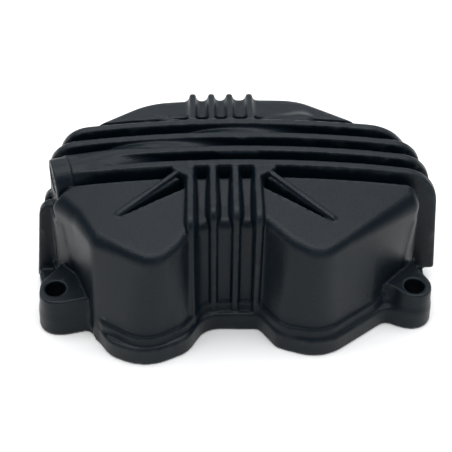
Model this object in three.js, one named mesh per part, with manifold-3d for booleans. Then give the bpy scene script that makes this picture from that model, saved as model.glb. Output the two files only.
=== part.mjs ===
// Cylinder-head cover (rocker cover) of a large air/oil-cooled single, with its seal and inner fittings.
// Millimetres, +Z up. The mating face lies on z = 0, +X runs along the cooling fins.
// Built about the midpoint of the two front bolt holes, then moved so that the origin is the
// bottom centre of the bounding box.

import * as THREE from 'three';
import Module from 'manifold-3d';

// ---- driving dimensions -------------------------------------------------------------------

const TIP_Z = 74;                  // crest height of the fins on the centre line
const CROWN_R = 526;               // crown radius of the fins and roofs along X
const WALL = 4;                    // casting wall

const FLANGE_Z = 10;               // plain height of the flange
const STEP_Z = 15;                 // top of the second shoulder
const STEP_OUT = 1.5;              // the second shoulder stands this far outside the body wall

const ROOF_BACK_Z = 71;            // front block roof at its edge beside fin 1
const ROOF_FRONT_Y = -13.3;        // that edge
const ROOF_REAR_Y = 28.5;          // matching edge of the rear hump
const ROOF_SLOPE = THREE.MathUtils.degToRad(12.3);
const CORE_Z = 57;                 // floor of the slots between the fins

const FIN_Y = -6.9;                // centre of fin 1
const FIN_PITCH = 9.45;
const FIN_TIP = 3.7;
const FIN_ROOT = 4.8;
const FIN_FOOT_Z = 8;
const FINS = [                     // half widths at the foot and under the crest, left and right
  { left: [93.5, 87.6], right: [95.8, 89.8], bend: [18, 19], leftCut: 51 },
  { left: [90.4, 86.4], right: [92, 88.4], bend: [16, 17], leftCut: 50 },
  { left: [87.4, 84.4], right: [88.6, 85.4], bend: [15, 16], leftCut: 0 },
  { left: [83.4, 80.2], right: [84.2, 82], bend: [16, 23], leftCut: 0 },
];

const RIB_X = [-20, -10.2, -0.3, 9.4];
const RIB_REAR_X = [-19.1, -10.3, -1.8, 7.6];
const RIB_TIP = 3.4;
const RIB_FRONT = [
  { bend: -41.7, foot: -45.6 },
  { bend: -36.5, foot: -37.8 },
  { bend: -36.5, foot: -37.8 },
  { bend: -39.3, foot: -38.6 },
];
const RIB_REAR_BEND = 49.5;
const RIB_REAR_FOOT = 53.8;

const RIDGE_START = new THREE.Vector2(-81.2, -6.3);     // port end of the passage ridge
const RIDGE_END = new THREE.Vector2(31, 27);          // domed end behind fin 4
const RIDGE_Z = 63;
const RIDGE_R = 8.5;
const COLLAR_R = 9.3;
const COLLAR_LENGTH = 8;
const COLLAR_FOOT_Z = 50;
const PASSAGE_R = 4.5;

const HOLE_R = 4.6;
const PAD_Z = 20.5;
const FRONT_HOLE = new THREE.Vector2(81.8, -32.5);
const REAR_HOLE = new THREE.Vector2(73.2, 41.7);

const RIM = 5.2;                   // wall beside the seal groove
const GROOVE_OUT = 0.6;            // seal groove: its outer wall stands this far outside the body wall
const GROOVE_WIDTH = 3.2;
const GROOVE_DEPTH = 2.6;
const FIT = 0.3;                   // clearance between separate pieces

const CHAMBER_X = 37;              // half length of the breather chamber frame
const CHAMBER_Y = [19.5, 40];
const CHAMBER_WALL = 3.2;
const FRAME_Z = 47;                // face the baffle assembly screws to
const BAFFLE_SEAL = 0.8;
const BAFFLE_SHEET = 1.2;
const POST_R = 4.2;
const SCREW_R = 1.9;
const SCREW_LENGTH = 8;
const SCREW_HEAD_R = 3.6;
const SCREW_HEAD = 2.2;

// Corner lists run anticlockwise seen from above: x, y, corner radius. The body is given where its
// walls leave the shoulders and again just under its roof, corner for corner.
const FLANGE = [
  [-13.9, -40.1, 10.9], [10.9, -40.3, 5.1], [18.2, -51.4, 7], [38.9, -59, 21.3], [69.2, -36.8, 6],
  [82, -39.6, 4], [89.8, -36.5, 10], [91.2, 22, 14], [79.5, 50.6, 9.2], [60, 44.5, 7], [34, 55.4, 22],
  [-43, 55.4, 26], [-61, 45.8, 7], [-79.5, 50.6, 9.2], [-91.2, 22, 14], [-92.3, -13, 4], [-90, -20, 8],
  [-88.6, -42.2, 9], [-67, -37.6, 5], [-58, -55.2, 15], [-40.6, -63.1, 22.5], [-21.8, -54, 14],
];
const BODY_FOOT_Z = 15;
const BODY_FOOT = [
  [-14.6, -35.6, 11], [9.9, -35, 11], [21, -50.4, 12], [39, -54.2, 17], [62.5, -37, 6],
  [83.5, -14.5, 5], [83.5, 13.9, 12], [31.9, 51.9, 22], [-41.2, 51.8, 30], [-83.5, 17.9, 12],
  [-83.3, -12.4, 5], [-72.6, -22.4, 12], [-64.2, -44.8, 7], [-40.9, -59.5, 16], [-24.1, -50.1, 14],
];
const BODY_TOP_Z = 61;
const BODY_TOP = [
  [-15.8, -34.8, 9], [10.2, -34.7, 11], [21.8, -46.4, 12], [35.2, -54.1, 12], [65, -32.2, 8],
  [81.6, -20.2, 5], [81.6, 11.3, 12], [30.9, 48.8, 22], [-40.3, 47.6, 30], [-81.6, 15.3, 12],
  [-81.9, -18, 6], [-71.6, -28, 9], [-62.6, -41.8, 9], [-34.6, -57.3, 11], [-24, -47.6, 13],
];

// ---- solid helpers ------------------------------------------------------------------------

const wasm = await Module();
wasm.setup();

function solid(geometry) {
  const plain = geometry.clone();
  plain.deleteAttribute('normal');
  plain.deleteAttribute('uv');
  const merged = mergeByPosition(plain);
  const mesh = new wasm.Mesh({
    numProp: 3,
    vertProperties: new Float32Array(merged.getAttribute('position').array),
    triVerts: new Uint32Array(merged.index.array),
  });
  mesh.merge();
  return new wasm.Manifold(mesh);
}

function mergeByPosition(geometry) {
  const position = geometry.getAttribute('position');
  const index = geometry.index ? geometry.index.array : [...Array(position.count).keys()];
  const seen = new Map();
  const points = [];
  const remap = [];
  for (let i = 0; i < position.count; i += 1) {
    const point = [position.getX(i), position.getY(i), position.getZ(i)];
    const key = point.map((value) => Math.round(value * 1e4)).join(',');
    if (!seen.has(key)) {
      seen.set(key, points.length);
      points.push(point);
    }
    remap.push(seen.get(key));
  }
  const faces = [];
  for (let i = 0; i < index.length; i += 3) {
    const face = [remap[index[i]], remap[index[i + 1]], remap[index[i + 2]]];
    if (new Set(face).size === 3) {
      faces.push(...face);
    }
  }
  const merged = new THREE.BufferGeometry();
  merged.setAttribute('position', new THREE.Float32BufferAttribute(points.flat(), 3));
  merged.setIndex(faces);
  return merged;
}

function meshGeometry(manifold) {
  const mesh = manifold.getMesh();
  const geometry = new THREE.BufferGeometry();
  geometry.setAttribute('position', new THREE.Float32BufferAttribute(mesh.vertProperties, 3));
  geometry.setIndex(new THREE.Uint32BufferAttribute(mesh.triVerts, 1));
  geometry.computeVertexNormals();
  return geometry;
}

function union(parts) {
  return parts.reduce((sum, next) => sum.add(next));
}

// Points of a polygon whose corners are rounded by tangent arcs; step 0 gives every corner five chords.
function roundedPolygon(corners, step = 15) {
  const points = [];
  corners.forEach(([x, y, radius], i) => {
    const here = new THREE.Vector2(x, y);
    const before = new THREE.Vector2(...corners.at(i - 1).slice(0, 2)).sub(here).normalize();
    const after = new THREE.Vector2(...corners[(i + 1) % corners.length].slice(0, 2)).sub(here).normalize();
    const half = Math.acos(THREE.MathUtils.clamp(before.dot(after), -1, 1)) / 2;
    if (step && (radius < 0.05 || Math.PI / 2 - half < 0.01)) {
      points.push(here);
      return;
    }
    const centre = before.clone().add(after).normalize().multiplyScalar(radius / Math.sin(half)).add(here);
    const start = before.clone().multiplyScalar(radius / Math.tan(half)).add(here).sub(centre);
    const turn = before.cross(after) > 0 ? -1 : 1;
    const sweep = Math.PI - 2 * half;
    const count = step ? Math.max(2, Math.ceil(THREE.MathUtils.radToDeg(sweep) / step)) : 5;
    for (let k = 0; k <= count; k += 1) {
      points.push(start.clone().rotateAround(new THREE.Vector2(), turn * sweep * k / count).add(centre));
    }
  });
  return points;
}

// The same corner list with every edge moved inwards.
function inset(corners, distance) {
  const edge = (i) => {
    const a = new THREE.Vector2(...corners.at(i).slice(0, 2));
    const b = new THREE.Vector2(...corners[(i + 1 + corners.length) % corners.length].slice(0, 2));
    const along = b.clone().sub(a).normalize();
    const inward = new THREE.Vector2(-along.y, along.x);
    return { point: a.addScaledVector(inward, distance), along };
  };
  return corners.map(([, , radius], i) => {
    const first = edge(i - 1);
    const second = edge(i);
    const cross = first.along.cross(second.along);
    const gap = second.point.clone().sub(first.point);
    const reach = gap.cross(second.along) / cross;
    const corner = first.point.clone().addScaledVector(first.along, reach);
    const rounded = cross > 0 ? radius - distance : radius + distance;
    return [corner.x, corner.y, Math.max(rounded, 0.3)];
  });
}

// A prism standing on the XY plane between two heights; round > 0 rounds its top rim.
function prism(points, low, high, round = 0) {
  const settings = { depth: high - low, bevelEnabled: false, curveSegments: 12 };
  if (round > 0) {
    settings.bevelEnabled = true;
    settings.bevelSegments = 3;
    settings.bevelThickness = round;
    settings.bevelSize = round;
    settings.bevelOffset = -round;
    settings.depth = high - low - 2 * round;
  }
  const geometry = new THREE.ExtrudeGeometry(new THREE.Shape(points), settings);
  geometry.translate(0, 0, low + round);
  return solid(geometry);
}

// The body between two heights: straight walls through its foot and top outlines, moved inwards.
function bodyLoft(distance, low, high) {
  const foot = roundedPolygon(inset(BODY_FOOT, distance), 0);
  const top = roundedPolygon(inset(BODY_TOP, distance), 0);
  const ring = (z) => {
    const share = (z - BODY_FOOT_Z) / (BODY_TOP_Z - BODY_FOOT_Z);
    return foot.map((point, i) => point.clone().lerp(top[i], share));
  };
  const lower = ring(low);
  const upper = ring(high);
  const positions = [];
  const face = (...corners) => corners.forEach((corner) => positions.push(...corner));
  const at = (point, z) => [point.x, point.y, z];
  lower.forEach((point, i) => {
    const k = (i + 1) % lower.length;
    face(at(point, low), at(lower[k], low), at(upper[k], high));
    face(at(point, low), at(upper[k], high), at(upper[i], high));
  });
  THREE.ShapeUtils.triangulateShape(lower, []).forEach(([a, b, c]) => {
    face(at(lower[c], low), at(lower[b], low), at(lower[a], low));
  });
  THREE.ShapeUtils.triangulateShape(upper, []).forEach(([a, b, c]) => {
    face(at(upper[a], high), at(upper[b], high), at(upper[c], high));
  });
  const geometry = new THREE.BufferGeometry();
  geometry.setAttribute('position', new THREE.Float32BufferAttribute(positions, 3));
  return solid(geometry);
}

// A plate whose outline lies in XZ, between two Y values, thinner at its top than at its foot.
function plateXZ(points, y, thickness) {
  const outline = new THREE.Shape(points);
  const geometry = new THREE.ExtrudeGeometry(outline, { depth: thickness, bevelEnabled: false });
  geometry.rotateX(Math.PI / 2);
  geometry.translate(0, y + thickness / 2, 0);
  return solid(geometry);
}

// A plate whose outline lies in YZ, centred on an X value.
function plateYZ(points, x, thickness) {
  const outline = new THREE.Shape(points);
  const geometry = new THREE.ExtrudeGeometry(outline, { depth: thickness, bevelEnabled: false });
  const basis = new THREE.Matrix4().makeBasis(
    new THREE.Vector3(0, 1, 0),
    new THREE.Vector3(0, 0, 1),
    new THREE.Vector3(1, 0, 0),
  );
  geometry.applyMatrix4(basis);
  geometry.translate(x - thickness / 2, 0, 0);
  return solid(geometry);
}

function box(low, high) {
  const size = high.map((value, i) => value - low[i]);
  const geometry = new THREE.BoxGeometry(...size);
  geometry.translate(...high.map((value, i) => (value + low[i]) / 2));
  return solid(geometry);
}

function post(x, y, radius, low, high, sides = 32) {
  const geometry = new THREE.CylinderGeometry(radius, radius, high - low, sides);
  geometry.rotateX(Math.PI / 2);
  geometry.translate(x, y, (low + high) / 2);
  return solid(geometry);
}

function crownDrop(x) {
  return (x * x) / (2 * CROWN_R);
}

// Everything below a crowned roof that starts at z = top on the line y = edge and falls away
// from it in the given direction (-1 to the front, +1 to the rear, 0 level).
function underRoof(top, edge, direction) {
  const reach = 110;
  const points = [new THREE.Vector2(-reach, -60), new THREE.Vector2(reach, -60)];
  for (let x = reach; x >= -reach; x -= 10) {
    points.push(new THREE.Vector2(x, top - crownDrop(x)));
  }
  const geometry = new THREE.ExtrudeGeometry(new THREE.Shape(points), { depth: 240, bevelEnabled: false });
  geometry.rotateX(Math.PI / 2);
  geometry.translate(0, 120, 0);
  const fall = -direction * Math.tan(ROOF_SLOPE);
  const slope = new THREE.Matrix4().makeShear(0, 0, 0, fall, 0, 0);
  geometry.translate(0, -edge, 0);
  geometry.applyMatrix4(slope);
  geometry.translate(0, edge, 0);
  return solid(geometry);
}

// ---- the casting --------------------------------------------------------------------------

const FAR = 200;

// A block of the body under its sloping crowned roof, its roof edge eased in small steps.
function block(insetBy, lowerBy, side) {
  const front = side < 0;
  const edge = front ? ROOF_FRONT_Y - insetBy : ROOF_REAR_Y + insetBy;
  const span = front ? box([-FAR, -FAR, 0], [FAR, edge, FAR]) : box([-FAR, edge, 0], [FAR, FAR, FAR]);
  const easing = [[0, 3.2], [0.9, 1], [3.2, 0]];
  const layers = easing.map(([back, drop]) => {
    const roof = underRoof(ROOF_BACK_Z - lowerBy - drop, front ? ROOF_FRONT_Y : ROOF_REAR_Y, side);
    return bodyLoft(insetBy + back, 0, TIP_Z).intersect(roof);
  });
  return union(layers).intersect(span);
}

function core(insetBy, lowerBy) {
  const top = underRoof(CORE_Z - lowerBy, 0, 0);
  const span = box([-FAR, ROOF_FRONT_Y - 12, 0], [FAR, ROOF_REAR_Y + 12, FAR]);
  return bodyLoft(insetBy, 0, TIP_Z).intersect(top).intersect(span);
}

function fin(index) {
  const { left, right, bend, leftCut } = FINS[index];
  const crest = (x) => TIP_Z - crownDrop(x);
  const corners = [
    [-left[0], FIN_FOOT_Z - 5, 3], [right[0], FIN_FOOT_Z, 0.5], [right[1], crest(right[1]), bend[1]],
  ];
  for (let x = 60; x >= -60; x -= 15) {
    corners.push([x, crest(x), 0]);
  }
  if (leftCut > 0) {
    corners.push([-78, crest(78), 2], [-78, leftCut, 2], [-left[1] - 0.9, leftCut - 1, 6]);
  } else {
    corners.push([-left[1], crest(left[1]), bend[0]]);
  }
  const y = FIN_Y + index * FIN_PITCH;
  const plate = plateXZ(roundedPolygon(corners), y, FIN_ROOT);
  return taperToTip(plate, y);
}

// Draft on both faces of a fin: two wedges take it from root to tip thickness.
function taperToTip(plate, y) {
  const wedge = [
    new THREE.Vector2(y - FIN_ROOT / 2, CORE_Z),
    new THREE.Vector2(y - FIN_TIP / 2, TIP_Z - 1),
    new THREE.Vector2(y - FIN_TIP / 2 + 0.9, TIP_Z + 0.1),
    new THREE.Vector2(y + FIN_TIP / 2 - 0.9, TIP_Z + 0.1),
    new THREE.Vector2(y + FIN_TIP / 2, TIP_Z - 1),
    new THREE.Vector2(y + FIN_ROOT / 2, CORE_Z),
    new THREE.Vector2(y + FIN_ROOT / 2, 0),
    new THREE.Vector2(y - FIN_ROOT / 2, 0),
  ];
  return plate.intersect(plateYZ(wedge.reverse(), 0, 2 * FAR));
}

function frontRib(index) {
  const { bend, foot } = RIB_FRONT[index];
  const corners = [
    [FIN_Y, STEP_Z - 8, 0], [FIN_Y, TIP_Z - 0.6, 0], [bend, TIP_Z - 3.6, 6], [foot, STEP_Z - 8, 0],
  ];
  return plateYZ(roundedPolygon(corners), RIB_X[index], RIB_TIP);
}

function rearRib(index) {
  const y = FIN_Y + 3 * FIN_PITCH;
  const corners = [
    [y, STEP_Z - 8, 0], [RIB_REAR_FOOT, STEP_Z - 8, 0], [RIB_REAR_BEND, TIP_Z - 4, 6], [y, TIP_Z - 0.6, 0],
  ];
  return plateYZ(roundedPolygon(corners), RIB_REAR_X[index], RIB_TIP - 0.4);
}

// A diagonal stiffener that starts level with the fin crest and runs out into the roof.
function diagonalRib(start, end, endZ) {
  const run = end.clone().sub(start);
  const reach = run.length() + 4;
  const corners = [[-6, 50], [reach, 50], [reach, endZ - 1.5], [0, TIP_Z - 1], [-6, TIP_Z - 1]];
  const geometry = new THREE.ExtrudeGeometry(
    new THREE.Shape(corners.map(([x, z]) => new THREE.Vector2(x, z))),
    { depth: RIB_TIP - 0.4, bevelEnabled: false },
  );
  geometry.rotateX(Math.PI / 2);
  geometry.translate(0, (RIB_TIP - 0.4) / 2, 0);
  geometry.rotateZ(run.angle());
  geometry.translate(start.x, start.y, 0);
  return solid(geometry);
}

const DIAGONALS = [
  {
    start: [13, -10], end: [42.5, -34.8], endZ: 65.6,
    pocket: [[11.6, -14], [11.6, -18.6], [41, -35.4]],
  },
  {
    start: [-24, -10], end: [-52.5, -31], endZ: 65.2,
    pocket: [[-22.2, -14], [-51.2, -32], [-22.2, -18.6]],
  },
  { start: [10, 22], end: [28, 36], endZ: 67.5, pocket: null },
  { start: [-22, 22], end: [-42, 34], endZ: 67.5, pocket: null },
];

// Webs at crest height in the corners between fin 1, the outer ribs and the front diagonals.
const WEBS = [
  [[9, -7], [9, -17], [17.5, -11], [17.5, -7]],
  [[-19.6, -7], [-28, -7], [-28, -11], [-19.6, -17]],
];

// Clearance in the left end of the front block, round the collar of the passage.
const COLLAR_RELIEF = [[-72, -12.7], [-72, 0], [-95, 0], [-95, -17.7], [-78, -17.7]];
const COLLAR_RELIEF_Z = 50;

// Triangular relief beside a front diagonal, open into the slot in front of fin 1.
function pocket(corners, grow, floor) {
  const list = inset(corners.map(([x, y]) => [x, y, 0]), -grow);
  return prism(list.map(([x, y]) => new THREE.Vector2(x, y)), floor, 90);
}

// Half-round ridge over the diagonal passage, with a larger collar at its open end.
function ridge() {
  const run = RIDGE_END.clone().sub(RIDGE_START);
  const barrel = (radius, from, to, foot) => {
    const round = new THREE.CylinderGeometry(radius, radius, to - from, 24);
    round.rotateZ(Math.PI / 2);
    round.translate((from + to) / 2, 0, RIDGE_Z);
    const skirt = new THREE.BoxGeometry(to - from, 2 * radius, RIDGE_Z - foot);
    skirt.translate((from + to) / 2, 0, (RIDGE_Z + foot) / 2);
    return solid(round).add(solid(skirt));
  };
  const dome = solid(new THREE.SphereGeometry(RIDGE_R, 24, 12)).translate(run.length(), 0, RIDGE_Z);
  const whole = union([
    barrel(RIDGE_R, 0, run.length(), CORE_Z - 6),
    barrel(COLLAR_R, 0, COLLAR_LENGTH, COLLAR_FOOT_Z),
    dome,
    post(run.length(), 0, RIDGE_R, CORE_Z - 6, RIDGE_Z),
  ]);
  const turned = whole.rotate(0, 0, THREE.MathUtils.radToDeg(run.angle()));
  return turned.translate(RIDGE_START.x, RIDGE_START.y, 0);
}

function passage() {
  const run = RIDGE_END.clone().sub(RIDGE_START);
  const bore = new THREE.CylinderGeometry(PASSAGE_R, PASSAGE_R, run.length() + 12, 24);
  bore.rotateZ(Math.PI / 2);
  bore.translate(run.length() / 2 - 6, 0, RIDGE_Z);
  const counterbore = new THREE.CylinderGeometry(6.2, 6.2, 19, 24);
  counterbore.rotateZ(Math.PI / 2);
  counterbore.translate(0, 0, RIDGE_Z);
  const turned = solid(bore).add(solid(counterbore)).rotate(0, 0, THREE.MathUtils.radToDeg(run.angle()));
  const drop = post(RIDGE_END.x - 3, RIDGE_END.y, PASSAGE_R - 0.6, FRAME_Z - 4, RIDGE_Z, 24);
  return turned.translate(RIDGE_START.x, RIDGE_START.y, 0).add(drop);
}

// Bolt bosses: round about the hole, the pad drawn back to a tip and an inner corner on the wall.
const FRONT_BOSSES = [
  [
    [67.2, -30.9, 0.4], [72.8, -33.3, 8], [78, -38.9, 8], [89.8, -38.9, 6.4], [89.6, -29.5, 8],
    [82.1, -15.5, 0.6], [72, -15, 0],
  ],
  [
    [-66.1, -38.3, 0.4], [-60, -30, 0], [-72, -15, 0], [-78.6, -14.5, 0.6], [-89, -28.5, 9],
    [-89, -41.2, 7], [-77.5, -41.2, 15],
  ],
];

function frontBoss(corners) {
  return prism(roundedPolygon(corners), 0.5, PAD_Z);
}

function rearBoss(sideX) {
  const x = sideX * REAR_HOLE.x;
  const outline = roundedPolygon([
    [x - 8.4, REAR_HOLE.y - 22, 1], [x + 8.4, REAR_HOLE.y - 22, 1],
    [x + 8.6, REAR_HOLE.y + 8.6, 8], [x - 8.6, REAR_HOLE.y + 8.6, 8],
  ]);
  return prism(outline, 0.5, PAD_Z);
}

const HOLES = [
  [-FRONT_HOLE.x, FRONT_HOLE.y], [FRONT_HOLE.x, FRONT_HOLE.y],
  [-REAR_HOLE.x, REAR_HOLE.y], [REAR_HOLE.x, REAR_HOLE.y],
];

const SCREWS = [
  [-33, 23.5], [0, 23.5], [33, 23.5], [-33, 36.5], [0, 36.5], [33, 36.5],
];

function cavity() {
  const above = box([-FAR, -FAR, STEP_Z - 3], [FAR, FAR, FAR]);
  const rooms = union([block(WALL, WALL, -1), block(WALL, WALL, 1), core(WALL, WALL)]).intersect(above);
  const open = rooms.add(bodyLoft(RIM, -5, STEP_Z));
  const keep = DIAGONALS.filter((entry) => entry.pocket)
    .map((entry) => pocket(entry.pocket, 3.5, CORE_Z - 4));
  keep.push(pocket([...COLLAR_RELIEF].reverse(), 3.5, COLLAR_RELIEF_Z - 4));
  return open.subtract(union(keep));
}

function chamberFrame() {
  const [near, far] = CHAMBER_Y;
  const outer = box([-CHAMBER_X, near, FRAME_Z], [CHAMBER_X, far, TIP_Z]);
  const inner = box(
    [-CHAMBER_X + CHAMBER_WALL, near + CHAMBER_WALL, 0],
    [CHAMBER_X - CHAMBER_WALL, far - CHAMBER_WALL, FAR],
  );
  const posts = SCREWS.map(([x, y]) => post(x, y, POST_R, FRAME_Z, TIP_Z));
  const hump = union([block(1, 1, 1), core(1, 1)]);
  return outer.subtract(inner).add(union(posts)).intersect(hump);
}

function sealLoop(clearance, low, high) {
  const outer = prism(roundedPolygon(inset(BODY_FOOT, clearance - GROOVE_OUT)), low, high);
  const innerWall = GROOVE_WIDTH - GROOVE_OUT - clearance;
  const inner = prism(roundedPolygon(inset(BODY_FOOT, innerWall)), low - 1, high + 1);
  return outer.subtract(inner);
}

function casting() {
  const collarRelief = pocket([...COLLAR_RELIEF].reverse(), 0, COLLAR_RELIEF_Z);
  const shell = union([
    prism(roundedPolygon(FLANGE), -2, FLANGE_Z, 1.6).intersect(box([-FAR, -FAR, 0], [FAR, FAR, FAR])),
    prism(roundedPolygon(inset(BODY_FOOT, -STEP_OUT)), 1, STEP_Z, 1)
      .intersect(prism(roundedPolygon(inset(FLANGE, 0.8)), 0, FAR)),
    block(0, 0, -1).subtract(collarRelief),
    block(0, 0, 1),
    core(0, 0),
    ...FINS.map((entry, index) => fin(index)),
    ...RIB_X.map((x, index) => frontRib(index)),
    ...RIB_X.map((x, index) => rearRib(index)),
    ...DIAGONALS.map(({ start, end, endZ }) => {
      return diagonalRib(new THREE.Vector2(...start), new THREE.Vector2(...end), endZ);
    }),
    ...WEBS.map((corners) => {
      return prism(corners.map(([x, y]) => new THREE.Vector2(x, y)), CORE_Z - 3, TIP_Z - 1);
    }),
    ridge(),
    ...FRONT_BOSSES.map(frontBoss),
    rearBoss(1),
    rearBoss(-1),
  ]);
  const reliefs = DIAGONALS.filter((entry) => entry.pocket)
    .map((entry) => pocket(entry.pocket, 0, CORE_Z));
  return shell
    .subtract(union(reliefs))
    .subtract(cavity())
    .add(chamberFrame())
    .subtract(passage())
    .subtract(sealLoop(0, -1, GROOVE_DEPTH))
    .subtract(union(HOLES.map(([x, y]) => post(x, y, HOLE_R, -5, 90))))
    .subtract(screwHoles(FRAME_Z - 2, FRAME_Z + SCREW_LENGTH));
}

// ---- seal, breather baffle, screws and passage plug ----------------------------------------

const SEAL_TOP = FRAME_Z - 0.05;
const SHEET_TOP = SEAL_TOP - BAFFLE_SEAL - 0.05;

function coverSeal() {
  return sealLoop(FIT, 0, GROOVE_DEPTH - FIT);
}

function baffleOutline(grow) {
  const [near, far] = CHAMBER_Y;
  return roundedPolygon([
    [-CHAMBER_X - grow, near - grow, 4], [CHAMBER_X + grow, near - grow, 4],
    [CHAMBER_X + grow, far + grow, 4], [-CHAMBER_X - grow, far + grow, 4],
  ]);
}

function screwHoles(low, high) {
  return union(SCREWS.map(([x, y]) => post(x, y, SCREW_R + FIT, low, high, 20)));
}

function baffleSeal() {
  const [near, far] = CHAMBER_Y;
  const low = SEAL_TOP - BAFFLE_SEAL;
  const rim = CHAMBER_WALL + 0.4;
  const opening = box([-CHAMBER_X + rim, near + rim, low - 1], [CHAMBER_X - rim, far - rim, SEAL_TOP + 1]);
  const eyes = union(SCREWS.map(([x, y]) => post(x, y, POST_R + 0.2, low, SEAL_TOP)));
  return prism(baffleOutline(0), low, SEAL_TOP).subtract(opening).add(eyes)
    .subtract(screwHoles(low - 1, SEAL_TOP + 1));
}

function bafflePlate() {
  const low = SHEET_TOP - BAFFLE_SHEET;
  const slots = [-22, -12, 12, 22].map((x) => {
    const slot = new THREE.Shape();
    slot.absarc(x, 27, 1.6, Math.PI, 2 * Math.PI, false);
    slot.absarc(x, 33, 1.6, 0, Math.PI, false);
    const geometry = new THREE.ExtrudeGeometry(slot, { depth: 6, bevelEnabled: false, curveSegments: 8 });
    return solid(geometry).translate(0, 0, low - 2);
  });
  return prism(baffleOutline(0.6), low, SHEET_TOP)
    .subtract(screwHoles(low - 1, SHEET_TOP + 1))
    .subtract(union(slots));
}

function screw(x, y) {
  const seat = SHEET_TOP - BAFFLE_SHEET - 0.05;
  const under = seat - SCREW_HEAD;
  const profile = [
    [0, under], [SCREW_HEAD_R - 0.9, under], [SCREW_HEAD_R, under + 0.9], [SCREW_HEAD_R, seat],
    [SCREW_R, seat], [SCREW_R, seat + 9], [SCREW_R - 0.6, seat + 9.7], [0, seat + 9.7],
  ].map(([r, z]) => new THREE.Vector2(r, z));
  const geometry = new THREE.LatheGeometry(profile, 24);
  geometry.rotateX(Math.PI / 2);
  const socket = new THREE.CylinderGeometry(1.5, 1.5, 1.2, 6);
  socket.rotateX(Math.PI / 2);
  socket.translate(0, 0, under);
  return solid(geometry).subtract(solid(socket)).translate(x, y, 0);
}

// Pieces of the closed passage end, built along +X from the port and then turned onto the ridge.
function alongPassage(piece) {
  const run = RIDGE_END.clone().sub(RIDGE_START);
  return piece
    .rotate(0, 0, THREE.MathUtils.radToDeg(run.angle()))
    .translate(RIDGE_START.x, RIDGE_START.y, RIDGE_Z);
}

function disc(radius, from, to, sides = 32) {
  const geometry = new THREE.CylinderGeometry(radius, radius, to - from, sides);
  geometry.rotateZ(Math.PI / 2);
  geometry.translate((from + to) / 2, 0, 0);
  return solid(geometry);
}

function passagePlug() {
  return alongPassage(disc(5.9, 0.4, 7.9).subtract(disc(3, -0.5, 4.2, 6)));
}

function passagePlugSeal() {
  return alongPassage(disc(5.9, 8, 9.4).subtract(disc(4.4, 7, 10)));
}

// ---- assembly -----------------------------------------------------------------------------

const PIECES = [
  ['cover_casting', casting(), 0x2b3133, 0.55, 0.35],
  ['cover_seal', coverSeal(), 0x161616, 0.85, 0],
  ['breather_baffle_seal', baffleSeal(), 0x3a3630, 0.9, 0],
  ['breather_baffle_plate', bafflePlate(), 0xa9a79b, 0.4, 0.9],
  ['passage_plug', passagePlug(), 0x8d8f92, 0.35, 0.9],
  ['passage_plug_seal', passagePlugSeal(), 0xa9633c, 0.45, 0.8],
];
SCREWS.forEach(([x, y], index) => {
  PIECES.push([`baffle_screw_${index + 1}`, screw(x, y), 0xb7b9bb, 0.3, 0.95]);
});

const group = new THREE.Group();
group.name = 'cylinder_head_cover';
const bounds = new THREE.Box3();
PIECES.forEach(([name, body, color, roughness, metalness]) => {
  const mesh = new THREE.Mesh(
    meshGeometry(body),
    new THREE.MeshStandardMaterial({ color, roughness, metalness }),
  );
  mesh.name = name;
  mesh.geometry.computeBoundingBox();
  bounds.union(mesh.geometry.boundingBox);
  group.add(mesh);
});

const centre = bounds.getCenter(new THREE.Vector3());
group.children.forEach((mesh) => mesh.geometry.translate(-centre.x, -centre.y, -bounds.min.z));

export default group;
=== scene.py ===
import math

import bpy
import numpy as np
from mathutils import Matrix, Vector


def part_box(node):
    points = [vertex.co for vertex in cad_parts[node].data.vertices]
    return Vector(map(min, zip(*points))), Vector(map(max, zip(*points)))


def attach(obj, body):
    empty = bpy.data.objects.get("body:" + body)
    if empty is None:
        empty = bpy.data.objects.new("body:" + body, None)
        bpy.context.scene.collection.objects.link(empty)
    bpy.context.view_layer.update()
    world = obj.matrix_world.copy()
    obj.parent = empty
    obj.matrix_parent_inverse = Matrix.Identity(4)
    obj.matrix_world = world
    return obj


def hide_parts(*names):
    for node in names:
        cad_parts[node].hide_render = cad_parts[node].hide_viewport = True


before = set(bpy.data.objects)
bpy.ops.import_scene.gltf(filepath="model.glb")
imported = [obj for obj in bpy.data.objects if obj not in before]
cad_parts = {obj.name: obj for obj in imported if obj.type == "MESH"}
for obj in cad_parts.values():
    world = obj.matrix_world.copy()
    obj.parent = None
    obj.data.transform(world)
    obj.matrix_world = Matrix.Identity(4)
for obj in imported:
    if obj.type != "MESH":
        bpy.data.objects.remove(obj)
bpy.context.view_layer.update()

import openvdb
from mathutils import Matrix, Vector

# Shapes are worked out in millimetres about the midpoint of the two front bolt holes,
# the point the casting is dimensioned from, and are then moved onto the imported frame.
# The casting has the CAD casting's outlines, fins, ribs and main heights, with cast fillets added.
# Its pockets, webs, rear diagonals and the dip between the front ribs are set here.

MM = 0.001
VOXEL = 0.6                        # grid pitch of the distance field
TIP_Z = 74.0
CROWN_R = 526.0
WALL = 4.0
RIM = 5.2                          # metal beside the seal groove
GROOVE = (0.6, -2.6)               # outer and inner wall of the groove, outward from the body's foot
GROOVE_DEPTH = 2.6
FLANGE_Z = 10.0
STEP_Z = 15.0
STEP_OUT = 1.5
ROOF_Z = 71.0
ROOF_FRONT_Y = -13.3
ROOF_REAR_Y = 28.5
SLOPE = math.radians(12.3)
DIP = 4.0                          # the roof lies up to this much lower between the outer front ribs;
DIP_BACK = 1.6                     # there its edge lies this much further back. The CAD has neither.
CORE_Z = 57.0
FIN_Y = -6.9
FIN_PITCH = 9.45
FIN_FOOT_Z = 8.0
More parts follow.
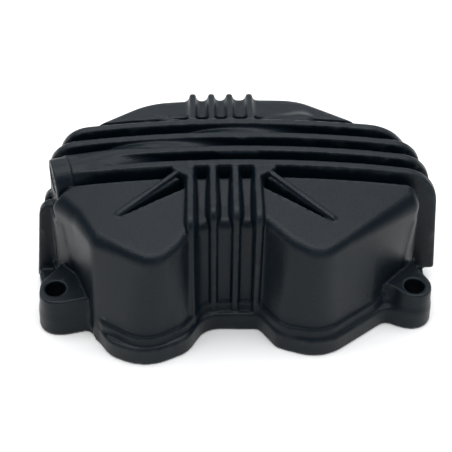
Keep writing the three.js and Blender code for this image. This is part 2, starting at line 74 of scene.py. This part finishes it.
# left foot, left top, right top, right foot, left and right bend radius, cut height at the left end
FINS = (
    (-93.5, -87.6, 89.8, 95.8, 18, 19, 51),
    (-90.4, -86.4, 88.4, 92.0, 16, 17, 50),
    (-87.4, -84.4, 85.4, 88.6, 15, 16, None),
    (-83.4, -80.2, 82.0, 84.2, 16, 23, None),
)
RIB_X = (-20.0, -10.2, -0.3, 9.4)
RIB_REAR_X = (-19.1, -10.3, -1.8, 7.6)
RIB_FRONT = ((-41.7, -45.6), (-36.5, -37.8), (-36.5, -37.8), (-39.3, -38.6))    # y of bend and foot
RIB_REAR = (49.5, 53.8)            # the same for the rear ribs
RIB_HALF = (1.4, 1.3)              # half thickness of the front and rear ribs at the crest
RIB_DRAFT = 0.26                   # growth of the half thickness per millimetre below the crest
RIB_FOOT_Z = 7
FIN_HALF = 2.45                    # half thickness of a fin at the core, and how much it loses above
FIN_TAPER = 0.6
RIDGE_START = np.array((-81.2, -6.3))
RIDGE_END = np.array((31.0, 27.0))
RIDGE_Z = 63.0
RIDGE_R = 8.5
RIDGE_FOOT_Z = 48
COLLAR_R = 9.3
COLLAR_LENGTH = 8.0
COLLAR_FOOT_Z = 50
PASSAGE_R = 4.5
PLUG_DEPTH = 9.5                   # length and radius of the plug's counterbore
PLUG_BORE_R = 6.2
DROP_R = 3.9                       # hole from the passage's end down into the cover
DROP_FOOT_Z = 43
HOLE_R = 4.6
PAD_Z = 20.5
FRONT_HOLE = (81.8, -32.5)
REAR_HOLE = (73.2, 41.7)
FRAME_Z = 47.0
CHAMBER_X = 37.0
CHAMBER_Y = (19.5, 40.0)
CHAMBER_WALL = 3.2
POST_R = 4.2
SCREW_HOLE_R = 2.2
SCREW_HOLE_DEPTH = 8
SCREWS = ((-33, 23.5), (0, 23.5), (33, 23.5), (-33, 36.5), (0, 36.5), (33, 36.5))

# Corner lists run anticlockwise seen from above: x, y, corner radius.
FLANGE = (
    (-13.9, -40.1, 10.9), (10.9, -40.3, 5.1), (18.2, -51.4, 7), (38.9, -59, 21.3), (69.2, -36.8, 6),
    (82, -39.6, 4), (89.8, -36.5, 10), (91.2, 22, 14), (79.5, 50.6, 9.2), (60, 44.5, 7), (34, 55.4, 22),
    (-43, 55.4, 26), (-61, 45.8, 7), (-79.5, 50.6, 9.2), (-91.2, 22, 14), (-92.3, -13, 4), (-90, -20, 8),
    (-88.6, -42.2, 9), (-67, -37.6, 5), (-58, -55.2, 15), (-40.6, -63.1, 22.5), (-21.8, -54, 14),
)
BODY_FOOT_Z = 15.0
BODY_FOOT = (
    (-14.6, -35.6, 11), (9.9, -35.0, 11), (21, -50.4, 12), (39, -54.2, 17), (62.5, -37, 6),
    (83.5, -14.5, 5), (83.5, 13.9, 12), (31.9, 51.9, 22), (-41.2, 51.8, 30), (-83.5, 17.9, 12),
    (-83.3, -12.4, 5), (-72.6, -22.4, 12), (-64.2, -44.8, 7), (-40.9, -59.5, 16), (-24.1, -50.1, 14),
)
BODY_TOP_Z = 61.0
BODY_TOP = (
    (-15.8, -34.8, 9), (10.2, -34.7, 11), (21.8, -46.4, 12), (35.2, -54.1, 12), (65, -32.2, 8),
    (81.6, -20.2, 5), (81.6, 11.3, 12), (30.9, 48.8, 22), (-40.3, 47.6, 30), (-81.6, 15.3, 12),
    (-81.9, -18, 6), (-71.6, -28, 9), (-62.6, -41.8, 9), (-34.6, -57.3, 11), (-24, -47.6, 13),
)
FRONT_BOSSES = (
    (
        (67.2, -30.9, 0.4), (72.8, -33.3, 8), (78, -38.9, 8), (89.8, -38.9, 6.4), (89.6, -29.5, 8),
        (82.1, -15.5, 0.6), (72, -15, 0),
    ),
    (
        (-66.1, -38.3, 0.4), (-60, -30, 0), (-72, -15, 0), (-78.6, -14.5, 0.6), (-89, -28.5, 9),
        (-89, -41.2, 7), (-77.5, -41.2, 15),
    ),
)
# reliefs beside the front diagonals, open into the slot in front of fin 1
POCKETS = (
    ((11.6, -12.0), (11.6, -18.6), (41.0, -35.6)),
    ((-22.2, -12.0), (-51.4, -32.1), (-22.2, -18.6)),
)
# start, end and crest height at the end of the stiffeners that run out of the fins into the roofs
DIAGONALS = (
    ((13, -10), (42.5, -34.8), 65.6), ((-24, -10), (-52.5, -31), 65.2),
    ((9, 22), (29, 36), 67.6), ((-21, 22), (-43, 34), 67.4),
)
DIAGONAL_HALF = 1.2
WEB_TOP_Z = TIP_Z - 0.9            # webs and diagonals start level here
WEBS = (((9, -7), (9, -16), (17.5, -10), (17.5, -7)), ((-19.6, -7), (-28, -7), (-28, -10), (-19.6, -16)))
# clearance in the left end of the front block, round the collar of the passage
COLLAR_RELIEF = ((-72, -12.7), (-72, 0), (-95, 0), (-95, -17.7), (-78, -17.7))
COLLAR_RELIEF_Z = 50
POCKET_WALL = 3.5                  # metal beside the pockets and the collar's clearance, from inside


# ---- outlines ---------------------------------------------------------------------------------

def rounded(corners, step=6.0):
    """Points of a polygon whose corners (x, y, radius) are rounded by tangent arcs."""
    points = []
    count = len(corners)
    for i, (x, y, radius) in enumerate(corners):
        here = np.array((x, y), float)
        before = np.array(corners[i - 1][:2], float) - here
        after = np.array(corners[(i + 1) % count][:2], float) - here
        before /= np.linalg.norm(before)
        after /= np.linalg.norm(after)
        half = math.acos(float(np.clip(before @ after, -1, 1))) / 2
        if radius < 0.05 or math.pi / 2 - half < 0.01:
            points.append(here)
            continue
        middle = before + after
        centre = here + middle / np.linalg.norm(middle) * radius / math.sin(half)
        spoke = here + before * radius / math.tan(half) - centre
        turn = -1 if before[0] * after[1] - before[1] * after[0] > 0 else 1
        sweep = math.pi - 2 * half
        pieces = max(3, math.ceil(math.degrees(sweep) / step))
        for k in range(pieces + 1):
            a = turn * sweep * k / pieces
            c, s = math.cos(a), math.sin(a)
            points.append(centre + (c * spoke[0] - s * spoke[1], s * spoke[0] + c * spoke[1]))
    return np.array(points)


def outline_distance(points, u, v):
    """Signed distance from every point of the grid u x v to a closed outline, negative inside."""
    uu, vv = np.meshgrid(u, v, indexing="ij")
    best = np.full(uu.shape, 1e9)
    inside = np.zeros(uu.shape, bool)
    for a, b in zip(points, np.roll(points, -1, axis=0)):
        edge = b - a
        length2 = float(edge @ edge)
        if length2 < 1e-12:
            continue
        pu, pv = uu - a[0], vv - a[1]
        t = np.clip((pu * edge[0] + pv * edge[1]) / length2, 0, 1)
        best = np.minimum(best, (pu - t * edge[0]) ** 2 + (pv - t * edge[1]) ** 2)
        if a[1] != b[1]:
            crosses = (a[1] > vv) != (b[1] > vv)
            inside ^= crosses & (uu < a[0] + (vv - a[1]) * edge[0] / edge[1])
    distance = np.sqrt(best)
    return np.where(inside, -distance, distance).astype(np.float32)


# ---- distance-field operations ----------------------------------------------------------------

def both(a, b, r):
    """Intersection of two fields, its edge rounded to radius r."""
    if np.all(r == 0):
        return np.maximum(a, b)
    return np.minimum(-r, np.maximum(a, b)) + np.hypot(np.maximum(r + a, 0), np.maximum(r + b, 0))


def either(a, b, r):
    """Union of two fields with a fillet of radius r where they meet."""
    if np.all(r == 0):
        return np.minimum(a, b)
    return np.maximum(r, np.minimum(a, b)) - np.hypot(np.maximum(r - a, 0), np.maximum(r - b, 0))


def without(a, b, r):
    return both(a, -b, r)


class Solid:
    """A distance field on a grid of voxels; each operation works on the part of the grid it needs."""

    def __init__(self, low, high, voxel):
        self.voxel = voxel
        self.axes = [np.arange(a, b + voxel, voxel, dtype=np.float32) for a, b in zip(low, high)]
        self.low = np.array([axis[0] for axis in self.axes])
        self.field = np.full([len(axis) for axis in self.axes], 50.0, np.float32)

    def window(self, low=(-999,) * 3, high=(999,) * 3):
        cut = []
        for axis, a, b in zip(self.axes, low, high):
            first, last = np.searchsorted(axis, (a, b))
            cut.append(slice(int(first), int(last)))
        x, y, z = (axis[c] for axis, c in zip(self.axes, cut))
        return tuple(cut), x[:, None, None], y[None, :, None], z[None, None, :]

    def add(self, cut, field, r=0.0):
        self.field[cut] = either(self.field[cut], field, r)

    def remove(self, cut, field, r=0.0):
        self.field[cut] = without(self.field[cut], field, r)


def plan(solid, points):
    """Distance to an outline in the XY plane, over the whole grid, as a one-layer field."""
    return outline_distance(points, solid.axes[0], solid.axes[1])[:, :, None]


def crown(x):
    return x * x / (2 * CROWN_R)


def between_ribs(x):
    """1 between the outer front ribs, changing to 0 under them."""
    middle = (RIB_X[0] + RIB_X[-1]) / 2
    reach = (RIB_X[-1] - RIB_X[0]) / 2 + 1
    return np.clip((reach - np.abs(x - middle)) / 2, 0, 1)


def roof(x, y, z, side, lower=0.0):
    edge = ROOF_FRONT_Y if side < 0 else ROOF_REAR_Y
    height = ROOF_Z - lower - crown(x) - math.tan(SLOPE) * np.maximum(side * (y - edge), -20)
    if side < 0:
        height = height - DIP * between_ribs(x) * np.clip(0.7 + (edge - y) / 40, 0, 1)
    return (z - height) * math.cos(SLOPE)


def cylinder(x, y, cx, cy, r):
    return np.hypot(x - cx, y - cy) - r


# ---- the casting ------------------------------------------------------------------------------

def outline(solid, corners):
    """Distance to a plain polygon in plan, over the whole grid."""
    return plan(solid, np.array(corners, float))


def casting_field():
    s = Solid((-99, -66, -3), (99, 62, 78), VOXEL)
    everywhere, x, y, z = s.window()
    foot2 = plan(s, rounded(BODY_FOOT))
    top2 = plan(s, rounded(BODY_TOP))
    flange2 = plan(s, rounded(FLANGE))
    share = (z - BODY_FOOT_Z) / (BODY_TOP_Z - BODY_FOOT_Z)
    wall = foot2 + (top2 - foot2) * share

    # flange and second shoulder
    s.add(everywhere, both(flange2 + z * 0.02, z - FLANGE_Z, 1.5))
    shoulder = np.maximum(foot2 - STEP_OUT, flange2 + 0.8)
    s.add(everywhere, both(shoulder + (z - STEP_Z) * 0.04, z - STEP_Z, 1.0), 1.0)

    # front block, core under the fins, rear hump
    pockets = np.minimum(outline(s, POCKETS[0]), outline(s, POCKETS[1]))
    collar_gap = outline(s, COLLAR_RELIEF[::-1])
    # the roof's edge is rounder towards the outer ends
    ease = 3.8 + 3.6 * np.clip((np.abs(x) - 48) / 32, 0, 1)
    front = both(both(wall, roof(x, y, z, -1), ease), y - ROOF_FRONT_Y - DIP_BACK * between_ribs(x), 0.7)
    front = without(front, both(collar_gap, COLLAR_RELIEF_Z - z, 2.0), 1.2)
    rear = both(both(wall, roof(x, y, z, 1), 3.6), ROOF_REAR_Y - y, 0.7)
    core = both(wall, z - CORE_Z + crown(x), 3.0)
    core = both(core, np.maximum(ROOF_FRONT_Y - 8 - y, y - ROOF_REAR_Y - 8), 0)
    shell = either(either(front, core, 1.2), rear, 1.2)
    shell = without(shell, both(pockets, CORE_Z - z, 1.5), 0.5)
    s.add(everywhere, shell, 1.2)

    # bolt bosses
    for shape in FRONT_BOSSES:
        boss = both(plan(s, rounded(shape)) + (z - PAD_Z) * 0.07, z - PAD_Z, 0.5)
        s.add(everywhere, np.maximum(boss, 0.5 - z), 0.8 + 2.6 * np.clip((17 - z) / 5, 0, 1))
    hx, hy = REAR_HOLE
    for side in (1, -1):
        shape = rounded((
            (side * hx - 8.4, hy - 22, 1), (side * hx + 8.4, hy - 22, 1),
            (side * hx + 8.6, hy + 8.6, 8), (side * hx - 8.6, hy + 8.6, 8),
        ))
        boss = both(plan(s, shape) + (z - PAD_Z) * 0.03, z - PAD_Z, 0.5)
        s.add(everywhere, np.maximum(boss, 0.5 - z), 1.0)

    # passage ridge with its collar
    cut, x1, y1, z1 = s.window((-95, -30, 36), (45, 42, 76))
    t, n, length = along_ridge(x1, y1)
    radial = np.sqrt(n * n + np.maximum(z1 - RIDGE_Z, 0) ** 2 + np.maximum(t - length, 0) ** 2)
    s.add(cut, np.maximum(np.maximum(radial - RIDGE_R, -t), RIDGE_FOOT_Z - z1), 1.6)
    collar = both(np.hypot(n, np.maximum(z1 - RIDGE_Z, 0)) - COLLAR_R, t - COLLAR_LENGTH, 0.6)
    s.add(cut, np.maximum(both(collar, -t, 0.6), COLLAR_FOOT_Z - z1), 0.5)

    # fins
    for i, row in enumerate(FINS):
        left_foot, left_top, right_top, right_foot, left_bend, right_bend, left_cut = row
        shape = [
            (left_foot, FIN_FOOT_Z - 5, 3), (right_foot, FIN_FOOT_Z, 1.5),
            (right_top, TIP_Z - crown(right_top), right_bend),
        ]
        shape += [(c, TIP_Z - crown(c), 0) for c in range(60, -61, -10)]
        if left_cut:
            shape += [(-78, TIP_Z - crown(78), 2), (-78, left_cut, 3), (left_top - 0.9, left_cut - 1, 7)]
        else:
            shape.append((left_top, TIP_Z - crown(left_top), left_bend))
        profile = outline_distance(rounded(shape), s.axes[0], s.axes[2])[:, None, :]
        yc = FIN_Y + i * FIN_PITCH
        cut, x1, y1, z1 = s.window((-999, yc - 8, 5), (999, yc + 8, 999))
        rise = np.clip((z1 - CORE_Z) / (TIP_Z - CORE_Z), 0, 1)
        half = FIN_HALF - rise * FIN_TAPER
        s.add(cut, both(profile[:, :, cut[2]], np.abs(y1 - yc) - half, 0.75), 1.4)

    # ribs over the front and rear walls
    back = FIN_Y + 3 * FIN_PITCH
    ribs = []
    for rx, (bend, foot) in zip(RIB_X, RIB_FRONT):
        ribs.append((rx, RIB_HALF[0], (
            (FIN_Y, RIB_FOOT_Z, 0), (foot, RIB_FOOT_Z, 0), (bend, TIP_Z - 4.6, 6), (FIN_Y, TIP_Z - 0.4, 0),
        )))
    for rx in RIB_REAR_X:
        bend, foot = RIB_REAR
        ribs.append((rx, RIB_HALF[1], (
            (back, RIB_FOOT_Z, 0), (foot, RIB_FOOT_Z, 0), (bend, TIP_Z - 4, 6), (back, TIP_Z - 0.4, 0),
        )))
    for cx, half, shape in ribs:
        profile = outline_distance(rounded(shape), s.axes[1], s.axes[2])[None, :, :]
        cut, x1, y1, z1 = s.window((cx - 6, -999, 5), (cx + 6, 999, 999))
        profile = profile[:, cut[1], cut[2]]
        plate = (np.abs(x1 - cx) - half - np.clip(-profile, 0, 6) * RIB_DRAFT) * 0.96
        s.add(cut, both(profile, plate, 0.8), 0.9 + 1.0 * np.clip((y1 + 12) / 1.5, 0, 1))

    # webs in the corners, and diagonal stiffeners running out of the fins into the roofs
    for corners in WEBS:
        s.add(everywhere, np.maximum(both(outline(s, corners), z - WEB_TOP_Z, 0.8), CORE_Z - z), 0.8)
    for start, end, end_z in DIAGONALS:
        a, b = np.array(start, float), np.array(end, float)
        reach = float(np.linalg.norm(b - a))
        d = (b - a) / reach
        low, high = np.minimum(a, b) - 6, np.maximum(a, b) + 6
        cut, x1, y1, z1 = s.window((low[0], low[1], 48), (high[0], high[1], 78))
        t = (x1 - a[0]) * d[0] + (y1 - a[1]) * d[1]
        n = np.abs(-(x1 - a[0]) * d[1] + (y1 - a[1]) * d[0])
        crest = WEB_TOP_Z + (end_z - WEB_TOP_Z) * np.clip(t / reach, 0, 1.1)
        crest = crest - 0.25 * np.maximum(t - reach + 2, 0) ** 2
        fin = both(n - DIAGONAL_HALF, z1 - crest, 0.7)
        s.add(cut, np.maximum(np.maximum(fin, t - reach - 2), -t - 2), 0.5)

    # the hollow underside
    inner = wall + WALL
    rooms = either(
        both(both(inner, roof(x, y, z, -1, WALL), 4.0), y - ROOF_FRONT_Y + WALL, 2.0),
        both(inner, z - CORE_Z + WALL + crown(x), 4.0), 1.5,
    )
    rooms = either(rooms, both(both(inner, roof(x, y, z, 1, WALL), 4.0), ROOF_REAR_Y + WALL - y, 2.0), 1.5)
    rooms = without(rooms, np.maximum(pockets - POCKET_WALL, CORE_Z - WALL - z), 1.0)
    rooms = without(rooms, np.maximum(collar_gap - POCKET_WALL, COLLAR_RELIEF_Z - WALL - z), 1.0)
    hollow = either(np.maximum(rooms, STEP_Z - 3 - z), np.maximum(foot2 + RIM, z - STEP_Z), 0)
    near, far = CHAMBER_Y
    ring = np.maximum(np.abs(x) - CHAMBER_X, np.abs(y - (near + far) / 2) - (far - near) / 2)
    ring = np.maximum(ring, -(ring + CHAMBER_WALL))
    for px, py in SCREWS:
        ring = np.minimum(ring, cylinder(x, y, px, py, POST_R))
    hollow = without(hollow, both(ring, FRAME_Z - z, 0.4), 1.2)
    s.remove(everywhere, hollow, 0.8)

    # seal groove, bores, screw holes and the mating face
    s.remove(everywhere, np.maximum(np.maximum(foot2 - GROOVE[0], GROOVE[1] - foot2), z - GROOVE_DEPTH), 0.3)
    for hx, hy in (FRONT_HOLE, REAR_HOLE):
        for side in (1, -1):
            cut, x1, y1, z1 = s.window((side * hx - 9, hy - 9, -3), (side * hx + 9, hy + 9, 30))
            s.remove(cut, cylinder(x1, y1, side * hx, hy, HOLE_R) + 0 * z1, 0.5)
    for px, py in SCREWS:
        cut, x1, y1, z1 = s.window((px - 6, py - 6, 40), (px + 6, py + 6, 60))
        s.remove(cut, np.maximum(cylinder(x1, y1, px, py, SCREW_HOLE_R), z1 - FRAME_Z - SCREW_HOLE_DEPTH), 0)
    cut, x1, y1, z1 = s.window((-99, -30, 42), (45, 42, 76))
    t, n, length = along_ridge(x1, y1)
    radial = np.hypot(n, z1 - RIDGE_Z)
    passage = np.maximum(radial - PASSAGE_R, t - length)
    bore = np.minimum(passage, np.maximum(radial - PLUG_BORE_R, t - PLUG_DEPTH))
    below_ridge = np.maximum(DROP_FOOT_Z - z1, z1 - RIDGE_Z)
    drop = np.maximum(cylinder(x1, y1, RIDGE_END[0] - 3, RIDGE_END[1], DROP_R), below_ridge)
    s.remove(cut, np.minimum(bore, drop), 0.4)
    s.field = both(s.field, -z, 0.25)
    return s


def along_ridge(x, y):
    """Distance along the passage from its port, distance to its side, and its length."""
    run = RIDGE_END - RIDGE_START
    length = float(np.linalg.norm(run))
    d = run / length
    t = (x - RIDGE_START[0]) * d[0] + (y - RIDGE_START[1]) * d[1]
    n = (y - RIDGE_START[1]) * d[0] - (x - RIDGE_START[0]) * d[1]
    return t, n, length


def surface(solid, adaptivity):
    """Vertices, faces and smooth normals of the field's zero surface."""
    band = 4 * solid.voxel
    grid = openvdb.FloatGrid()
    grid.background = band
    grid.copyFromArray(np.clip(solid.field, -band, band))
    points, triangles, quads = grid.convertToPolygons(isovalue=0.0, adaptivity=adaptivity)
    gradient = np.stack([
        sample(np.gradient(solid.field, axis=k), points) for k in range(3)
    ], axis=1)
    gradient /= np.linalg.norm(gradient, axis=1, keepdims=True) + 1e-9
    return points * solid.voxel + solid.low, triangles, quads, gradient


def sample(field, points):
    base = np.clip(np.floor(points).astype(int), 0, np.array(field.shape) - 2)
    f = points - base
    total = np.zeros(len(points))
    for dx in (0, 1):
        for dy in (0, 1):
            for dz in (0, 1):
                weight = np.abs(1 - dx - f[:, 0]) * np.abs(1 - dy - f[:, 1]) * np.abs(1 - dz - f[:, 2])
                total += weight * field[base[:, 0] + dx, base[:, 1] + dy, base[:, 2] + dz]
    return total


# ---- meshes -----------------------------------------------------------------------------------

first_screw = sum(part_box("baffle_screw_1"), Vector()) / 2
SHIFT = np.array((first_screw.x / MM - SCREWS[0][0], first_screw.y / MM - SCREWS[0][1], 0.0))


def field_object(name, solid, adaptivity):
    points, triangles, quads, normals = surface(solid, adaptivity)
    points = (points + SHIFT) * MM
    faces = [tuple(int(i) for i in f) for f in triangles]
    faces += [tuple(int(i) for i in f) for f in quads]
    mesh = bpy.data.meshes.new(name)
    mesh.from_pydata(points.tolist(), [], faces)
    mesh.polygons.foreach_set("use_smooth", [True] * len(mesh.polygons))
    mesh.normals_split_custom_set_from_vertices(normals.tolist())
    thing = bpy.data.objects.new(name, mesh)
    bpy.context.scene.collection.objects.link(thing)
    return thing


casting = field_object("cast_cover", casting_field(), 0.02)


# ---- materials --------------------------------------------------------------------------------

def material(name):
    made = bpy.data.materials.new(name)
    made.use_nodes = True
    nodes = made.node_tree.nodes
    nodes.clear()
    out = nodes.new("ShaderNodeOutputMaterial")
    shader = nodes.new("ShaderNodeBsdfPrincipled")
    made.node_tree.links.new(shader.outputs[0], out.inputs[0])
    return made, nodes, made.node_tree.links, shader


def noise(nodes, links, place, scale, detail):
    made = nodes.new("ShaderNodeTexNoise")
    made.inputs["Scale"].default_value = scale
    made.inputs["Detail"].default_value = detail
    links.new(place.outputs["Object"], made.inputs["Vector"])
    return made.outputs["Fac"]


def ranged(nodes, links, value, low, high, to_low=0.0, to_high=1.0):
    made = nodes.new("ShaderNodeMapRange")
    made.inputs["From Min"].default_value = low
    made.inputs["From Max"].default_value = high
    made.inputs["To Min"].default_value = to_low
    made.inputs["To Max"].default_value = to_high
    links.new(value, made.inputs["Value"])
    return made.outputs["Result"]


def blended(nodes, links, factor, first, second):
    """Mix of two colours; either may be a constant or the output of another node."""
    made = nodes.new("ShaderNodeMix")
    made.data_type = "RGBA"
    links.new(factor, made.inputs["Factor"])
    for name, colour in (("A", first), ("B", second)):
        if isinstance(colour, tuple):
            made.inputs[name].default_value = (*colour, 1)
        else:
            links.new(colour, made.inputs[name])
    return made.outputs["Result"]


def finish(name, dark, light, wear_and_glint, rough, grain_scale, grain_depth, metallic=0.0, specular=0.5, lines=None):
    """A surface with patchy colour, a fine grain in its relief and gloss, and lighter edges: partly wear,
    partly a painted highlight standing in for edge glints.
    """
    made, nodes, links, shader = material(name)
    place = nodes.new("ShaderNodeTexCoord")
    patch = noise(nodes, links, place, 40, 5)
    grain = noise(nodes, links, place, grain_scale, 3)
    tone = blended(nodes, links, ranged(nodes, links, patch, 0.3, 0.7), dark, light)
    shape = nodes.new("ShaderNodeNewGeometry")
    # Edges are lightened towards the third colour: partly paint worn through, partly a painted highlight in
    # place of the glints on rounded edges.
    edge = ranged(nodes, links, shape.outputs["Pointiness"], 0.51, 0.6)
    wear_and_glint_mask = nodes.new("ShaderNodeMath")
    wear_and_glint_mask.operation = "MULTIPLY"
    links.new(edge, wear_and_glint_mask.inputs[0])
    links.new(ranged(nodes, links, noise(nodes, links, place, 260, 4), 0.35, 0.65), wear_and_glint_mask.inputs[1])
    links.new(blended(nodes, links, wear_and_glint_mask.outputs[0], tone, wear_and_glint), shader.inputs["Base Color"])
    links.new(ranged(nodes, links, patch, 0.3, 0.7, *rough), shader.inputs["Roughness"])
    relief = grain
    if lines:
        wave = nodes.new("ShaderNodeTexWave")
        wave.inputs["Scale"].default_value = lines
        wave.inputs["Distortion"].default_value = 1.5
        wave.inputs["Detail"].default_value = 2
        links.new(place.outputs["Object"], wave.inputs["Vector"])
        added = nodes.new("ShaderNodeMath")
        links.new(wave.outputs["Fac"], added.inputs[0])
        links.new(grain, added.inputs[1])
        relief = added.outputs[0]
    bump = nodes.new("ShaderNodeBump")
    bump.inputs["Strength"].default_value = 0.7
    bump.inputs["Distance"].default_value = grain_depth * MM
    links.new(relief, bump.inputs["Height"])
    links.new(bump.outputs["Normal"], shader.inputs["Normal"])
    shader.inputs["Metallic"].default_value = metallic
    shader.inputs["Specular IOR Level"].default_value = specular
    return made


def machine_base(made):
    """Bare milled aluminium in place of the paint on the mating face, which lies at the origin's height."""
    nodes, links = made.node_tree.nodes, made.node_tree.links
    shader = next(node for node in nodes if node.type == "BSDF_PRINCIPLED")
    place = nodes.new("ShaderNodeTexCoord")
    parts = nodes.new("ShaderNodeSeparateXYZ")
    links.new(place.outputs["Object"], parts.inputs["Vector"])
    bare = ranged(nodes, links, parts.outputs["Z"], 0.0, 0.2 * MM, 1.0, 0.0)
    marks = noise(nodes, links, place, 300, 4)
    metal = blended(nodes, links, marks, (0.42, 0.43, 0.44), (0.6, 0.61, 0.62))
    paint = shader.inputs["Base Color"].links[0].from_socket
    links.new(blended(nodes, links, bare, paint, metal), shader.inputs["Base Color"])
    links.new(bare, shader.inputs["Metallic"])


def black_paint():
    # The third colour lightens the edges: partly wear, partly a painted highlight for the edge glints.
    made = finish(
        "satin_black_paint", (0.0020, 0.0052, 0.0088), (0.0034, 0.0074, 0.0112), (0.035, 0.045, 0.05),
        (0.3, 0.41), 1500, 0.22, specular=0.16,
    )
    machine_base(made)
    return made


# Each fitting's third colour lightens its edges: partly wear, partly a painted highlight.
FITTINGS = {
    "cover_seal": lambda: finish(
        "moulded_rubber", (0.012, 0.012, 0.012), (0.02, 0.02, 0.021), (0.04, 0.04, 0.04),
        (0.6, 0.8), 1200, 0.1, specular=0.35,
    ),
    "breather_baffle_seal": lambda: finish(
        "fibre_gasket", (0.04, 0.036, 0.03), (0.075, 0.067, 0.055), (0.11, 0.1, 0.085),
        (0.75, 0.9), 1600, 0.2, specular=0.25,
    ),
    "breather_baffle_plate": lambda: finish(
        "zinc_plated_sheet", (0.46, 0.45, 0.4), (0.6, 0.59, 0.52), (0.72, 0.71, 0.68),
        (0.3, 0.46), 1000, 0.04, metallic=1.0, lines=90,
    ),
    "passage_plug": lambda: finish(
        "blackened_steel", (0.018, 0.02, 0.022), (0.03, 0.032, 0.035), (0.05, 0.052, 0.055),
        (0.42, 0.56), 1300, 0.04, metallic=0.6, specular=0.3, lines=300,
    ),
    "passage_plug_seal": lambda: finish(
        "soft_copper", (0.5, 0.24, 0.14), (0.66, 0.36, 0.24), (0.8, 0.5, 0.36),
        (0.32, 0.5), 1100, 0.05, metallic=1.0,
    ),
    "baffle_screw": lambda: finish(
        "zinc_plated_steel", (0.5, 0.5, 0.5), (0.66, 0.66, 0.67), (0.8, 0.8, 0.8),
        (0.22, 0.36), 1200, 0.04, metallic=1.0,
    ),
}

casting.data.materials.append(black_paint())
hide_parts("cover_casting")
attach(casting, "root")

for kind, make in FITTINGS.items():
    made = make()
    for name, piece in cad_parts.items():
        if name == kind or name.startswith(kind + "_") and name[len(kind) + 1:].isdigit():
            piece.data.materials.clear()
            piece.data.materials.append(made)


# ---- camera, floor and light ------------------------------------------------------------------

PITCH, YAW, ROLL = math.radians(44.0), math.radians(1.7), math.radians(0.8)
TARGET = Vector(((-2.9 + SHIFT[0]) * MM, (28.8 + SHIFT[1]) * MM, 0.0))
DISTANCE = 0.5824
SENSOR_MM = 36.0
LENS_MM = 91.593

look = Vector((math.sin(YAW) * math.cos(PITCH), math.cos(YAW) * math.cos(PITCH), -math.sin(PITCH)))
right = Vector((math.cos(YAW), -math.sin(YAW), 0.0))
up = right.cross(look)
tilt_right = right * math.cos(ROLL) + up * math.sin(ROLL)
tilt_up = up * math.cos(ROLL) - right * math.sin(ROLL)
camera_data = bpy.data.cameras.new("camera")
camera_data.sensor_width = SENSOR_MM
camera_data.lens = LENS_MM
camera = bpy.data.objects.new("camera", camera_data)
camera.matrix_world = Matrix((tilt_right, tilt_up, -look)).transposed().to_4x4()
camera.location = TARGET - look * DISTANCE
bpy.context.scene.collection.objects.link(camera)
bpy.context.scene.camera = camera

floor_mesh = bpy.data.meshes.new("floor")
floor_mesh.from_pydata([(-3, -3, 0), (3, -3, 0), (3, 3, 0), (-3, 3, 0)], [], [(0, 1, 2, 3)])
floor = bpy.data.objects.new("floor", floor_mesh)
floor.location.z = -0.0002
bpy.context.scene.collection.objects.link(floor)
floor_paint, _, _, floor_shader = material("pale_floor")
floor_shader.inputs["Base Color"].default_value = (0.9, 0.9, 0.9, 1)
floor_shader.inputs["Roughness"].default_value = 0.8
floor_mesh.materials.append(floor_paint)

world = bpy.data.worlds.new("studio")
world.use_nodes = True
world.node_tree.nodes["Background"].inputs["Color"].default_value = (0.93, 0.97, 1, 1)
world.node_tree.nodes["Background"].inputs["Strength"].default_value = 0.3
bpy.context.scene.world = world
bpy.context.scene.view_settings.view_transform = "Standard"


def area(name, location, target, size, power):
    data = bpy.data.lights.new(name, "AREA")
    data.shape = "RECTANGLE"
    data.size, data.size_y = size
    data.energy = power
    lamp = bpy.data.objects.new(name, data)
    lamp.location = location
    lamp.rotation_euler = (Vector(target) - Vector(location)).to_track_quat("-Z", "Y").to_euler()
    bpy.context.scene.collection.objects.link(lamp)


area("key", (0.0, -0.05, 1.25), (0, 0, 0.03), (1.9, 0.9), 24)
area("back", (0.0, 1.0, 1.0), (0, 0, 0.03), (2.2, 0.9), 13)
